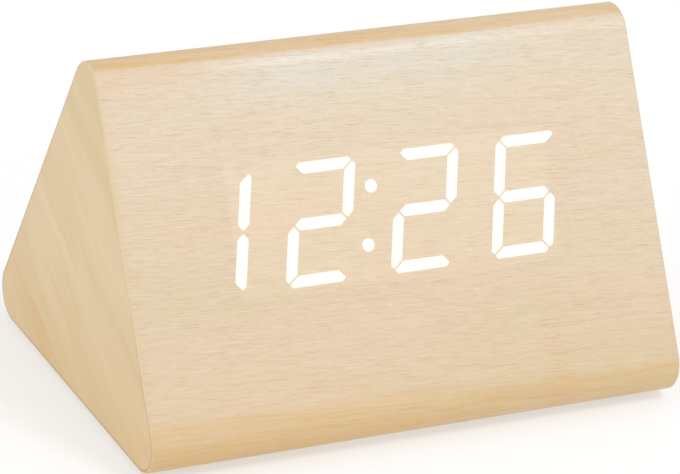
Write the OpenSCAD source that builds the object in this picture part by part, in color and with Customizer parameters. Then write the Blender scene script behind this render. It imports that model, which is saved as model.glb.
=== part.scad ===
// Triangular digital desk clock: a hollow prism in wood-grain film, with a glowing
// seven-segment time behind its sloping front, three push buttons and a power socket
// on its sloping back, and a battery bay in its base.
// Millimetres. X runs along the case, the display looks towards -Y, Z is up, and the
// feet stand on z = 0 under the middle of the case.

/* [Case] */
// Length of the case from end to end
case_l = 120; // [108:1:150]
// Depth of the case across its rounded edges
case_depth = 82.6; // [76:0.2:95]
// Radius of the three long edges
edge_r = 6.4; // [4:0.2:7]
// Thickness of the board that the case is made of
wall = 5; // [4:0.25:5.5]
// Thickness of the wood-grain film
film = 0.4; // [0.3:0.05:0.5]
// Thickness of each end cap
cap_t = 5; // [3:0.25:5]
// Depth of the plug behind each end cap
plug_d = 3; // [2:0.25:3]
// Radius of the hollow's inner corners
hollow_r = 2; // [1:0.5:3]

/* [Display] */
// Hour that is lit
hour = 12; // [0:1:23]
// Minute that is lit
minute = 26; // [0:1:59]
// Height of a digit
digit_h = 24.9; // [20:0.1:26]
// Distance from digit to digit, as a share of the case's length
digit_step = 0.192; // [0.175:0.001:0.192]
// Width of a digit before it is slanted, as a share of that distance
digit_fill = 0.626; // [0.55:0.002:0.64]
// Extra distance between the hours and the minutes
colon_gap = 0.45; // [0:0.05:0.6]
// Lean of the digits to the right, in degrees
slant = 12.4; // [0:0.2:14]
// Thickness of the level strokes
stroke_h = 2.4; // [2:0.1:3]
// Width of the upright strokes
stroke_v = 2.5; // [1.8:0.1:2.6]
// Cut across a digit's outer corners
corner_cut = 1.5; // [1:0.1:1.8]
// Radius of a segment's corners
segment_r = 0.3; // [0.1:0.05:0.45]
// Gap between two segments that meet
segment_gap = 0.3; // [0.25:0.05:0.5]
// Diameter of the colon's dots
colon_d = 2.8; // [2:0.1:3.4]
// Gap between the display and the left end's plug
display_gap = 0.3; // [0.2:0.1:1.2]
// Rise of the digits above the middle of the front face
display_rise = 3; // [0:0.1:4]

/* [Controls] */
// Length of the control plate
plate_l = 80; // [72:1:88]
// Height of the control plate
plate_h = 20; // [18:0.5:22]
// Thickness of the control plate's flange
plate_t = 2; // [1.6:0.1:2.2]
// Rise of the controls above the middle of the back face
controls_rise = 1; // [0:0.5:3]
// Radius of a push button's cap
button_r = 3.5; // [2.8:0.1:3.5]
// Distance from button to button
button_pitch = 12; // [11:0.5:12]
// How far a button stands out of the plate
button_proud = 0.9; // [0.6:0.1:1.4]
// How far a button goes in
button_travel = 0.3; // [0.2:0.05:0.35]
// Radius of the power socket's hole
socket_r = 1.85; // [1.5:0.05:2]

/* [Battery bay] */
// Diameter of a cell
cell_d = 10.5; // [10.3:0.1:10.5]
// Length of a cell with its button
cell_l = 44.5; // [43.5:0.1:44.5]
// Distance from cell to cell
cell_pitch = 11.1; // [10.9:0.1:11.4]
// Length of a contact spring under its cell's push
spring_l = 5.7; // [5:0.1:6.5]
// Thickness of the tray's walls
tray_wall = 1.6; // [1.4:0.1:2]
// Thickness of the tray's flange
flange_t = 2; // [1.8:0.1:2.2]
// Thickness of the door
door_t = 1.8; // [1.6:0.1:1.8]
// Gap round the door
door_gap = 0.25; // [0.2:0.05:0.4]

/* [Feet] */
// Diameter of a foot
foot_d = 9; // [7:0.5:10]
// Thickness of a foot
foot_h = 1.2; // [0.8:0.1:3]
// Distance of a foot's middle from the end of the case
foot_inset = 11; // [8:0.5:12]

/* [Hidden] */
$fn = 64;
root3 = sqrt(3);

// Clearances: a loose fit, a sliding fit, an overlap that joins, a cut's run past a surface,
// and the room between two parts on a board
fit = 0.2;
slip = 0.3;
touch = 0.1;
past = 1;
part_gap = 0.9;

// Case
side = case_depth + 2 * edge_r * (root3 - 1);
face_mid = side / 2;
shell = film + wall;
tube_l = case_l - 2 * (film + cap_t);

// Screws
screw_r = 1;
screw_play = 0.05;
screw_head_r = 2;
screw_head_h = 1.1;
screw_sink = screw_head_h + touch;

// Digits
digit_pitch = case_l * digit_step;
digit_w = digit_pitch * digit_fill;
half_w = digit_w / 2;
half_h = digit_h / 2;
mitre = segment_gap / sqrt(2);
stroke_mid = half_w - stroke_v / 2;
corner_steps = 3;
colon_rise = 5.9;
colon_shift = -0.8;

// Display
guide_d = 1.2;
board_t = 1.6;
housing_rim = 2.55;
housing_l = 4 * digit_pitch + colon_gap;
housing_h = digit_h + 2 * housing_rim;
digit_u = housing_l / 2 + plug_d + display_gap - tube_l / 2;
digit_v = face_mid + display_rise;
display_board_rim = 4;
display_board_h = housing_h + 2 * display_board_rim;
display_screw_in = 6;
display_screw_u = housing_l / 2 - display_screw_in;
display_screw_v = (housing_h + display_board_h) / 4 - touch;
display_screw_bite = 3.5;
display_screw_l = board_t + display_screw_bite;

// Ribbon cable and its headers
header_l = 15;
header_w = 5;
header_h = 6;
header_drop = 9;
ribbon_x = 8;
ribbon_w = header_l - part_gap;
ribbon_t = 0.8;
display_header_v = digit_v - header_drop;

// Control plate
controls_v = face_mid + controls_rise;
plate_r = 4;
skirt_in_l = 6;
skirt_in_h = 2.6;
skirt_l = plate_l - 2 * skirt_in_l;
skirt_h = plate_h - 2 * skirt_in_h;
skirt_t = 1.2;
skirt_room = skirt_l / 2 - skirt_t;
plate_screw_u = (plate_l + skirt_l) / 4;
plate_screw_l = 3.6;

// Main board
board_gap = 5.6;
board_rim_l = 2;
board_rim_h = 3;
board_l = plate_l + 2 * board_rim_l;
board_h = plate_h + 2 * board_rim_h;
board_w = -shell - board_gap;
inner_w = board_w - board_t;
spacer_in = 3.5;
spacer_u = board_l / 2 - spacer_in;
spacer_v = board_h / 2 - spacer_in;
board_screw_bite = 2;
board_screw_l = board_t + board_gap + board_screw_bite;
board_header_v = controls_v - board_h / 2 + header_w;

// Buttons, switches, socket, microphone and sounder along the plate
collar_rim = 1.1;
collar_r = button_r + collar_rim;
switch_s = 6;
switch_h = 3.5;
plunger_r = 1.75;
plunger_h = 1.5;
plunger_sunk = 0.7;
plunger_w = board_w + switch_h + plunger_h;
socket_base = 8;
socket_floor = 1.5;
socket_body_r = 3.3;
socket_recess = 0.8;
microphone_r = 2;
sounder_r = 4.5;
down_u = skirt_room - collar_r - fit;
up_u = down_u - button_pitch;
set_u = up_u - button_pitch;
socket_u = socket_base / 2 + slip - skirt_room;
microphone_u = set_u - collar_r - microphone_r - part_gap;
sounder_u = (microphone_u - microphone_r + socket_u + socket_base / 2) / 2;

// Parts in a row on the main board's inner side
coin_r = 10;
coin_t = 3.2;
coin_base = 1;
coin_rim = 1.4;
coin_holder_r = coin_r + coin_rim;
chip_l = 18;
crystal_l = 6;
capacitor_r = 3.2;
bead_r = 1.2;
row_rise = board_h / 6;
coin_x = screw_head_r + part_gap + coin_holder_r - spacer_u;
chip_x = coin_x + coin_holder_r + part_gap + chip_l / 2;
crystal_x = chip_x + chip_l / 2 + part_gap + crystal_l / 2;
capacitor_x = crystal_x + crystal_l / 2 + part_gap + capacitor_r;
bead_x = capacitor_x + capacitor_r + part_gap + bead_r;

// Battery bay
contact_t = 0.4;
cells = 4;
cell_gap = 0.5;
bay_side = 0.8;
bay_l = cell_l + spring_l + 2 * contact_t;
bay_w = cells * cell_pitch + 2 * bay_side;
ledge = 1.2;
door_l = bay_l + 2 * (ledge - door_gap);
door_w = bay_w + 2 * (ledge - door_gap);
flange_rim_l = 7.3;
flange_rim_w = 5.1;
flange_r = 3;
flange_l = bay_l + 2 * (ledge + flange_rim_l);
flange_w = bay_w + 2 * (ledge + flange_rim_w);
cell_rise = door_t + cell_gap + cell_d / 2;
bay_top = cell_rise + cell_d / 2 + fit;
tray_top = bay_top + tray_wall;
tray_screw_in = 3.5;
tray_screw_x = flange_l / 2 - tray_screw_in;
tray_screw_y = flange_w / 2 - tray_screw_in;
tray_screw_l = 4;

// Battery door
tongue_in = 10;
tongue_w = 6;
tongue_x = bay_l / 2 - tongue_in;
tongue_l = 1.8;
tongue_t = 0.7;
tongue_room = 2;
door_lip = 0.8;
hinge_y = -door_w / 2 + door_t / 2;
hinge_z = door_t / 2;

// Battery leads
terminal_w = 3;
terminal_h = 2;
lead_r = 0.7;
lead_pitch = 3;
red_lead_x = spacer_u - screw_head_r - part_gap - lead_r;
lead_v = controls_v - spacer_v;

// Feet
foot_edge = 2;
foot_x = case_l / 2 - foot_inset;
foot_y = face_mid - edge_r * root3 - foot_d / 2 - foot_edge;

// Places children on the base of the case
module on_base() {
  translate([0, 0, foot_h])
    children();
}

// Places children on the front face: x along the case, y up the slope, z outwards
module on_front() {
  on_base()
    translate([0, -side / 2, 0])
      rotate([60, 0, 0])
        children();
}

// Places children on the back face: x along the case, y up the slope, z outwards
module on_back() {
  on_base()
    translate([0, side / 2, 0])
      rotate([60, 0, 180])
        children();
}

// Turns a Y-Z outline into a prism along the case, centred on its middle
module along_case(l) {
  rotate([90, 0, 90])
    linear_extrude(l, center = true)
      children();
}

// Outline of the case, inset from its faces, with round corners
module case_outline(inset, r) {
  low = inset + r;
  half = side / 2 - root3 * low;
  high = low + half * root3;
  polygon([
    [-half, inset], [half, inset],
    [half + r * root3 / 2, low + r / 2], [r * root3 / 2, high + r / 2],
    [-r * root3 / 2, high + r / 2], [-half - r * root3 / 2, low + r / 2]
  ]);
  translate([-half, low])
    circle(r);
  translate([half, low])
    circle(r);
  translate([0, high])
    circle(r);
}

// Rectangle with round corners, centred
module round_rect(l, w, r) {
  square([l - 2 * r, w], center = true);
  square([l, w - 2 * r], center = true);
  for (x = [-1, 1], y = [-1, 1])
    translate([x * (l / 2 - r), y * (w / 2 - r)])
      circle(r);
}

// Block centred in x and y that stands between two heights
module block(l, w, low, high) {
  translate([-l / 2, -w / 2, low])
    cube([l, w, high - low]);
}

// Plug for a hole or a pin between two heights
module rod(r, low, high) {
  translate([0, 0, low])
    cylinder(r = r, h = high - low);
}

// Pan-head screw: its head stands on z = 0, its shank goes down
module screw(shank_l) {
  cross_w = 0.5;
  cross_l = 2.2;
  cross_d = 0.6;
  crown = 0.8;
  point_h = 1;
  point = 0.4;
  difference() {
    union() {
      cylinder(r1 = screw_head_r, r2 = screw_head_r * crown, h = screw_head_h);
      rod(screw_r, point_h - shank_l, touch);
      translate([0, 0, -shank_l])
        cylinder(r1 = screw_r * point, r2 = screw_r, h = point_h);
    }
    block(cross_l, cross_w, screw_head_h - cross_d, screw_head_h + touch);
    block(cross_w, cross_l, screw_head_h - cross_d, screw_head_h + touch);
  }
}

// Hole that a screw of this length goes into
module screw_hole(shank_l) {
  rod(screw_r + screw_play, -shank_l - touch, touch);
}

function unit(v) = v / norm(v);

// Wire that follows a path of points, in flat steps
module wire(path, r, sides) {
  last = len(path) - 1;
  reference = [0.31, 0.17, 0.93];
  function tangent(i) = unit(path[min(i + 1, last)] - path[max(i - 1, 0)]);
  function aside(t) = unit(cross(t, reference));
  rings = [
    for (i = [0:last])
      let (t = tangent(i), n = aside(t), b = cross(t, n))
        for (k = [0:sides - 1])
          path[i] + r * (cos(k * 360 / sides) * n + sin(k * 360 / sides) * b)
  ];
  function corner(i, k) = i * sides + k % sides;
  lower = [
    for (i = [0:last - 1], k = [0:sides - 1])
      [corner(i, k), corner(i + 1, k + 1), corner(i, k + 1)]
  ];
  upper = [
    for (i = [0:last - 1], k = [0:sides - 1])
      [corner(i, k), corner(i + 1, k), corner(i + 1, k + 1)]
  ];
  first_end = [for (k = [0:sides - 1]) corner(0, k)];
  last_end = [for (k = [sides - 1:-1:0]) corner(last, k)];
  polyhedron(rings, concat(lower, upper, [first_end, last_end]));
}

// Point on a four-point curve
function curve(p, t) = pow(1 - t, 3) * p[0] + 3 * t * pow(1 - t, 2) * p[1]
  + 3 * t * t * (1 - t) * p[2] + pow(t, 3) * p[3];

// Y-Z position of a point on the front or back slope, counted from the base
function front_yz(v, w) = [-side / 2 + v / 2 - w * root3 / 2, v * root3 / 2 + w / 2];
function back_yz(v, w) = [side / 2 - v / 2 + w * root3 / 2, v * root3 / 2 + w / 2];

// Segment outlines of an upright digit, with mitred ends
function flip_x(p) = [for (i = [len(p) - 1:-1:0]) [-p[i][0], p[i][1]]];
function flip_y(p) = [for (i = [len(p) - 1:-1:0]) [p[i][0], -p[i][1]]];
top_bar = [
  [half_w - corner_cut - mitre, half_h],
  [-half_w + corner_cut + mitre, half_h],
  [-half_w + corner_cut / 2 + mitre, half_h - corner_cut / 2],
  [-half_w + stroke_v + mitre, half_h - stroke_h],
  [half_w - stroke_v - mitre, half_h - stroke_h],
  [half_w - corner_cut / 2 - mitre, half_h - corner_cut / 2]
];
right_bar = [
  [half_w, stroke_v / 2 + mitre],
  [half_w, half_h - corner_cut - mitre],
  [half_w - corner_cut / 2, half_h - corner_cut / 2 - mitre],
  [half_w - stroke_v, half_h - stroke_h - mitre],
  [half_w - stroke_v, stroke_v / 2 + mitre],
  [stroke_mid, mitre]
];
middle_bar = [
  [stroke_mid - mitre, 0],
  [stroke_mid - mitre - stroke_h / 2, stroke_h / 2],
  [-stroke_mid + mitre + stroke_h / 2, stroke_h / 2],
  [-stroke_mid + mitre, 0],
  [-stroke_mid + mitre + stroke_h / 2, -stroke_h / 2],
  [stroke_mid - mitre - stroke_h / 2, -stroke_h / 2]
];
segments = [
  top_bar, right_bar, flip_y(right_bar), flip_y(top_bar),
  flip_x(flip_y(right_bar)), flip_x(right_bar), middle_bar
];
lit_bars = [
  [1, 1, 1, 1, 1, 1, 0], [0, 1, 1, 0, 0, 0, 0], [1, 1, 0, 1, 1, 0, 1],
  [1, 1, 1, 1, 0, 0, 1], [0, 1, 1, 0, 0, 1, 1], [1, 0, 1, 1, 0, 1, 1],
  [1, 0, 1, 1, 1, 1, 1], [1, 1, 1, 0, 0, 0, 0], [1, 1, 1, 1, 1, 1, 1],
  [1, 1, 1, 1, 0, 1, 1]
];
shown = [floor(hour / 10), hour % 10, floor(minute / 10), minute % 10];

function lean(p) = [p[0] + p[1] * tan(slant), p[1]];
function digit_pos(i) = [
  digit_u + (i - 1.5) * digit_pitch + (i < 2 ? -colon_gap / 2 : colon_gap / 2), digit_v
];

// Round corner at b of an outline that goes from a to c, in flat steps
function corner_arc(a, b, c, r) =
  let (
    to_a = unit(a - b), to_c = unit(c - b),
    half = acos(to_a * to_c) / 2,
    middle = b + unit(to_a + to_c) * r / sin(half),
    first = b + to_a * r / tan(half) - middle,
    last = b + to_c * r / tan(half) - middle
  )
  [for (k = [0:corner_steps]) middle + r * unit(first * (corner_steps - k) + last * k)];
function soften(p, r) = [
  for (i = [0:len(p) - 1])
    each corner_arc(p[(i + len(p) - 1) % len(p)], p[i], p[(i + 1) % len(p)], r)
];
function bar(i, s) = soften([for (p = segments[s]) digit_pos(i) + lean(p)], segment_r);
function bar_mid(i, s) = digit_pos(i) + lean([
  (segments[s][0][0] + segments[s][3][0]) / 2, (segments[s][0][1] + segments[s][3][1]) / 2
]);
function dot_mid(k) = [digit_u + colon_shift, digit_v] + lean([0, k * colon_rise]);

// Segments of one digit that are lit, or that are not
module digit_bars(i, lit) {
  for (s = [0:6])
    if (lit_bars[shown[i]][s] == lit)
      polygon(bar(i, s));
}

module colon_dots_flat() {
  for (k = [-1, 1])
    translate(dot_mid(k))
      circle(d = colon_d);
}

module lit_flat() {
  for (i = [0:3])
    digit_bars(i, 1);
  colon_dots_flat();
}

// Light guides that fill the tops of their wells and end flush with the film
module lit_guides() {
  on_front()
    translate([0, 0, -film - guide_d])
      linear_extrude(film + guide_d)
        children();
}

// Battery tray's outlines, seen from below
module flange_block(grow, low, high) {
  translate([0, 0, low])
    linear_extrude(high - low)
      round_rect(flange_l + 2 * grow, flange_w + 2 * grow, flange_r + grow);
}

// Positions of groups of equal pieces
module at_tray_screws() {
  for (x = [-1, 1], y = [-1, 1])
    translate([x * tray_screw_x, y * tray_screw_y, 0])
      children();
}

module at_display_screws() {
  for (x = [-1, 1], y = [-1, 1])
    translate([digit_u + x * display_screw_u, digit_v + y * display_screw_v, 0])
      children();
}

module at_spacers() {
  for (x = [-1, 1], y = [-1, 1])
    translate([x * spacer_u, controls_v + y * spacer_v, 0])
      children();
}

module at_plate_screws() {
  for (x = [-1, 1])
    translate([x * plate_screw_u, controls_v, 0])
      children();
}

module case_body() {
  color("#c9ab7c")
    difference() {
      on_base()
        along_case(tube_l)
          difference() {
            case_outline(film, edge_r - film);
            case_outline(shell, hollow_r);
          }
      on_front() {
        translate([digit_u, digit_v, 0])
          block(housing_l + 2 * fit, housing_h + 2 * fit, -shell - past, past);
        at_display_screws()
          translate([0, 0, -shell - board_t])
            rotate([180, 0, 0])
              screw_hole(display_screw_l);
      }
      on_back() {
        translate([0, controls_v, -plate_t])
          linear_extrude(plate_t + past)
            round_rect(plate_l + 2 * fit, plate_h + 2 * fit, plate_r + fit);
        translate([0, controls_v, 0])
          block(skirt_l + 2 * fit, skirt_h + 2 * fit, -shell - past, past);
        at_spacers()
          translate([0, 0, inner_w])
            rotate([180, 0, 0])
              screw_hole(board_screw_l);
        at_plate_screws()
          translate([0, 0, -screw_sink])
            screw_hole(plate_screw_l);
      }
      on_base() {
        flange_block(fit, -past, flange_t);
        block(bay_l + 2 * (tray_wall + fit), bay_w + 2 * (tray_wall + fit), -past, shell + past);
        translate([0, -bay_w / 2 - tray_wall, 0])
          block(2 * (tongue_x + tongue_room) + tongue_w, tongue_w, -past, shell + past);
        at_tray_screws()
          translate([0, 0, screw_sink])
            rotate([180, 0, 0])
              screw_hole(tray_screw_l);
      }
    }
}

module wood_film() {
  color("#e6d3ae")
    difference() {
      on_base()
        along_case(case_l)
          difference() {
            case_outline(0, edge_r);
            case_outline(film, edge_r - film);
          }
      on_front()
        translate([0, 0, -film - past])
          linear_extrude(film + 2 * past)
            lit_flat();
      on_back()
        translate([0, controls_v, -film - past])
          linear_extrude(film + 2 * past)
            round_rect(plate_l + 2 * fit, plate_h + 2 * fit, plate_r + fit);
      on_base()
        flange_block(fit, -past, film + past);
    }
}

module end_cap(s) {
  color("#c9ab7c")
    on_base() {
      translate([s * (tube_l + cap_t) / 2, 0, 0])
        along_case(cap_t)
          case_outline(film, edge_r - film);
      translate([s * (tube_l - plug_d + touch) / 2, 0, 0])
        along_case(plug_d + touch)
          case_outline(shell + touch, hollow_r);
    }
}

module end_film(s) {
  color("#dcc598")
    on_base()
      translate([s * (case_l - film) / 2, 0, 0])
        along_case(film)
          case_outline(film, edge_r - film);
}

module display_housing() {
  color("#202124")
    on_front()
      difference() {
        translate([digit_u, digit_v, 0])
          block(housing_l, housing_h, -shell, -film);
        translate([0, 0, -shell - past])
          linear_extrude(wall + 2 * past) {
            for (i = [0:3], s = [0:6])
              polygon(bar(i, s));
            colon_dots_flat();
          }
      }
}

module digit_guides(i) {
  color("white")
    lit_guides()
      digit_bars(i, 1);
}

module colon_guides() {
  color("white")
    lit_guides()
      colon_dots_flat();
}

module unlit_guides() {
  color("#b9b4a8")
    on_front()
      translate([0, 0, -film - guide_d])
        linear_extrude(guide_d)
          for (i = [0:3])
            digit_bars(i, 0);
}

module display_board() {
  color("#1f5a34")
    on_front()
      difference() {
        translate([digit_u, digit_v, 0])
          block(housing_l, display_board_h, -shell - board_t, -shell);
        at_display_screws()
          rod(screw_r + fit, -shell - board_t - past, past);
      }
}

module led_chips() {
  chip = 1;
  chip_h = 0.6;
  color("#fff3c4")
    on_front()
      translate([0, 0, -shell]) {
        for (i = [0:3], s = [0:6])
          translate(bar_mid(i, s))
            block(chip, chip, 0, chip_h);
        for (k = [-1, 1])
          translate(dot_mid(k))
            block(chip, chip, 0, chip_h);
      }
}

module display_screws() {
  color("#9aa0a6")
    on_front()
      at_display_screws()
        translate([0, 0, -shell - board_t])
          rotate([180, 0, 0])
            screw(display_screw_l);
}

module display_header() {
  color("#e8e2d4")
    on_front()
      translate([ribbon_x, display_header_v, -shell - board_t])
        block(header_l, header_w, -header_h, 0);
}

module ribbon_cable() {
  pull = 8;
  steps = 16;
  from = front_yz(display_header_v, -shell - board_t - header_h);
  to = back_yz(board_header_v, inner_w - header_h);
  from_dir = [root3 / 2, -1 / 2];
  to_dir = [-root3 / 2, -1 / 2];
  path = [
    from + from_dir, from + pull * from_dir, to + pull * to_dir, to + to_dir
  ];
  points = concat(
    [from], [for (i = [0:steps]) curve(path, i / steps)], [to]
  );
  last = steps + 2;
  function along(i) = points[min(i + 1, last)] - points[max(i - 1, 0)];
  function across(i) = [-along(i)[1], along(i)[0]] / norm(along(i)) * ribbon_t / 2;
  color("#8f949b")
    on_base()
      translate([ribbon_x, 0, 0])
        along_case(ribbon_w)
          polygon(concat(
            [for (i = [0:last]) points[i] - across(i)],
            [for (i = [last:-1:0]) points[i] + across(i)]
          ));
}

module control_plate() {
  hole_ring = 2.6;
  sound_hole_r = 0.6;
  microphone_hole_r = 0.8;
  color("#26272a")
    on_back()
      translate([0, controls_v, 0])
        difference() {
          union() {
            translate([0, 0, -plate_t])
              linear_extrude(plate_t)
                round_rect(plate_l, plate_h, plate_r);
            difference() {
              block(skirt_l, skirt_h, -shell, -plate_t + touch);
              block(skirt_l - 2 * skirt_t, skirt_h - 2 * skirt_t, -shell - past, -plate_t);
            }
          }
          for (u = [set_u, up_u, down_u])
            translate([u, 0, 0])
              rod(button_r + slip, -plate_t - past, past);
          translate([socket_u, 0, 0])
            rod(socket_body_r + slip, -plate_t - past, past);
          translate([microphone_u, 0, 0])
            rod(microphone_hole_r, -plate_t - past, past);
          translate([sounder_u, 0, 0]) {
            rod(sound_hole_r, -plate_t - past, past);
            for (k = [0:5])
              rotate([0, 0, k * 60])
                translate([hole_ring, 0, 0])
                  rod(sound_hole_r, -plate_t - past, past);
          }
          for (x = [-1, 1])
            translate([x * plate_screw_u, 0, 0]) {
              rod(screw_r + fit, -plate_t - past, past);
              rod(screw_head_r + fit, -screw_sink, past);
            }
        }
}

module plate_screws() {
  color("#9aa0a6")
    on_back()
      at_plate_screws()
        translate([0, 0, -screw_sink])
          screw(plate_screw_l);
}

// Push button with a bevelled cap, a collar under the plate and a stem on its switch
module button(u, mark) {
  collar_t = 1;
  collar_w = -plate_t - touch;
  stem_r = 1.6;
  edge = 0.5;
  mark_d = 0.3;
  mark_s = 1.5;
  mark_low = 1.05;
  color("#3a3c40")
    on_back()
      translate([u, controls_v, 0])
        difference() {
          union() {
            rotate_extrude()
              polygon([
                [0, collar_w - touch], [button_r, collar_w - touch],
                [button_r, button_proud - edge], [button_r - edge, button_proud],
                [0, button_proud]
              ]);
            rod(collar_r, collar_w - collar_t, collar_w);
            rod(stem_r, plunger_w, collar_w - collar_t + touch);
          }
          translate([0, 0, button_proud - mark_d])
            linear_extrude(mark_d + past)
              if (mark == 0)
                difference() {
                  circle(mark_s);
                  circle(mark_s / 2);
                }
              else
                polygon([
                  [-mark_s, -mark * mark_low], [mark_s, -mark * mark_low], [0, mark * mark_s]
                ]);
        }
}

module switch_body(u) {
  sink_d = plunger_sunk + button_travel + fit;
  color("#1b1c1e")
    on_back()
      translate([u, controls_v, 0])
        difference() {
          block(switch_s, switch_s, board_w, board_w + switch_h);
          rod(plunger_r + slip, board_w + switch_h - sink_d, board_w + switch_h + past);
        }
}

module switch_plunger(u) {
  color("#d8d2c2")
    on_back()
      translate([u, controls_v, 0])
        rod(plunger_r, plunger_w - plunger_h - plunger_sunk, plunger_w);
}

module power_socket() {
  base_h = 3;
  color("#17181a")
    on_back()
      translate([socket_u, controls_v, 0])
        difference() {
          union() {
            block(socket_base, socket_base, board_w, board_w + base_h);
            rod(socket_body_r, board_w, -socket_recess);
          }
          rod(socket_r, board_w + socket_floor, past);
        }
}

module socket_pin() {
  pin_r = 0.65;
  short = 1;
  color("#c8ccd0")
    on_back()
      translate([socket_u, controls_v, 0])
        rod(pin_r, board_w + socket_floor, -socket_recess - short);
}

module main_board() {
  color("#1f5a34")
    on_back()
      difference() {
        translate([0, controls_v, 0])
          block(board_l, board_h, inner_w, board_w);
        at_spacers()
          rod(screw_r + fit, inner_w - past, past);
      }
}

module board_spacers() {
  spacer_r = 2.8;
  color("#e8e2d4")
    on_back()
      at_spacers()
        difference() {
          rod(spacer_r, board_w, -shell);
          rod(screw_r + fit, board_w - past, past);
        }
}

module board_screws() {
  color("#9aa0a6")
    on_back()
      at_spacers()
        translate([0, 0, inner_w])
          rotate([180, 0, 0])
            screw(board_screw_l);
}

// Places children on the main board's inner side, facing into the case
module on_inner_side(x, rise) {
  on_back()
    translate([-x, controls_v + rise, inner_w])
      rotate([180, 0, 0])
        children();
}

module controller_chip() {
  chip_w = 7.5;
  chip_h = 2.4;
  lead_gap = 0.3;
  legs = 10;
  leg_pitch = 1.27;
  leg_reach = 1.35;
  leg_w = 0.45;
  color("#1b1c1e")
    on_inner_side(chip_x, row_rise) {
      block(chip_l, chip_w, lead_gap, chip_h);
      for (k = [0:legs - 1])
        translate([(k - (legs - 1) / 2) * leg_pitch, 0, 0])
          block(leg_w, chip_w + 2 * leg_reach, 0, lead_gap + touch);
    }
}

module crystal() {
  can_r = 1;
  color("#c8ccd0")
    on_inner_side(crystal_x, row_rise)
      translate([-crystal_l / 2, 0, can_r])
        rotate([0, 90, 0])
          rod(can_r, 0, crystal_l);
}

module capacitor() {
  can_h = 7;
  color("#2b3a55")
    on_inner_side(capacitor_x, row_rise)
      rod(capacitor_r, 0, can_h);
}

module thermistor() {
  foot_r = 0.5;
  color("#2f6b4a")
    on_inner_side(bead_x, row_rise) {
      translate([0, 0, 2 * bead_r])
        sphere(bead_r);
      rod(foot_r, 0, 2 * bead_r);
    }
}

module coin_holder() {
  holder_h = 4.6;
  mouth_w = 14;
  color("#1b1c1e")
    on_inner_side(coin_x, 0)
      difference() {
        rod(coin_holder_r, 0, holder_h);
        rod(coin_r + fit, coin_base, holder_h + past);
        translate([0, coin_holder_r, 0])
          block(mouth_w, coin_holder_r, coin_base + coin_t / 2, holder_h + past);
      }
}

module coin_cell() {
  color("#c8ccd0")
    on_inner_side(coin_x, 0)
      rod(coin_r, coin_base, coin_base + coin_t);
}

module sounder() {
  sounder_h = 5;
  port_r = 1.2;
  color("#1b1c1e")
    on_back()
      translate([sounder_u, controls_v, 0])
        difference() {
          rod(sounder_r, board_w, board_w + sounder_h);
          rod(port_r, board_w + sounder_h - past, board_w + sounder_h + past);
        }
}

module microphone() {
  can_h = 2.7;
  color("#c8ccd0")
    on_back()
      translate([microphone_u, controls_v, 0])
        rod(microphone_r, board_w, board_w + can_h);
}

module board_header() {
  color("#e8e2d4")
    on_inner_side(ribbon_x, board_header_v - controls_v)
      block(header_l, header_w, 0, header_h);
}

module battery_tray() {
  rib_t = 1;
  rib_drop = 2.4;
  slot = 0.2;
  swing = tongue_l + door_t / 2 + cell_gap;
  color("#26272a")
    on_base()
      difference() {
        union() {
          flange_block(0, 0, flange_t);
          block(bay_l + 2 * tray_wall, bay_w + 2 * tray_wall, 0, tray_top);
        }
        difference() {
          block(bay_l, bay_w, -past, bay_top);
          for (k = [-1:1])
            translate([0, k * cell_pitch, 0])
              block(cell_l / 2, rib_t, bay_top - rib_drop, bay_top + past);
        }
        block(bay_l + 2 * ledge, bay_w + 2 * ledge, -past, door_t + touch);
        for (x = [-1, 1])
          translate([x * tongue_x, 0, 0])
            translate([-tongue_w / 2 - slip, hinge_y - swing, door_lip])
              cube([tongue_w + 2 * slip, swing + past, swing + hinge_z - door_lip]);
        for (y = [-1, 1])
          translate([(bay_l - contact_t) / 2, y * cell_pitch * (cells - 1) / 2, 0])
            block(contact_t + 2 * slot, terminal_w + 2 * slot, cell_rise, tray_top + past);
        at_tray_screws() {
          rod(screw_r + fit, -past, flange_t + past);
          rod(screw_head_r + fit, -past, screw_sink);
        }
      }
}

module tray_screws() {
  color("#9aa0a6")
    on_base()
      at_tray_screws()
        translate([0, 0, screw_sink])
          rotate([180, 0, 0])
            screw(tray_screw_l);
}

// Door with a round hinge edge, two tongues, a latch leaf, grip ribs and an arrow
module battery_door() {
  leaf_w = 10;
  leaf_t = 0.9;
  leaf_h = 2.6;
  leaf_in = 0.45;
  nib = 0.25;
  nib_in = 1;
  grip_l = 16;
  grip_in = 4;
  grip_w = 0.8;
  grip_pitch = 1.8;
  grips = 5;
  grip_d = 0.5;
  arrow_s = 3;
  arrow_l = 4.8;
  arrow_y = 2;
  leaf_y = bay_w / 2 - leaf_in - leaf_t / 2;
  color("#26272a")
    on_base()
      difference() {
        union() {
          along_case(door_l) {
            translate([hinge_y, 0])
              square([door_w / 2 - hinge_y, door_t]);
            translate([hinge_y, hinge_z])
              circle(door_t / 2);
          }
          for (x = [-1, 1])
            translate([x * tongue_x, hinge_y - door_t / 2 - tongue_l, 0])
              translate([-tongue_w / 2, 0, hinge_z + touch])
                cube([tongue_w, tongue_l + door_t / 2, tongue_t]);
          translate([0, leaf_y, 0])
            block(leaf_w, leaf_t, door_t - touch, door_t + leaf_h);
          translate([0, leaf_y + nib, 0])
            block(leaf_w - 2 * nib_in, leaf_t, door_t + leaf_h / 2, door_t + leaf_h);
        }
        for (k = [0:grips - 1])
          translate([0, door_w / 2 - grip_in - k * grip_pitch, 0])
            block(grip_l, grip_w, -past, grip_d);
        translate([0, arrow_y, -past])
          linear_extrude(past + grip_d)
            polygon([[-arrow_s, 0], [arrow_s, 0], [0, arrow_l]]);
      }
}

// Cells lie side by side with their ends alternating
function cell_y(k) = (k - (cells - 1) / 2) * cell_pitch;
function cell_dir(k) = k % 2 == 0 ? 1 : -1;

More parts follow.
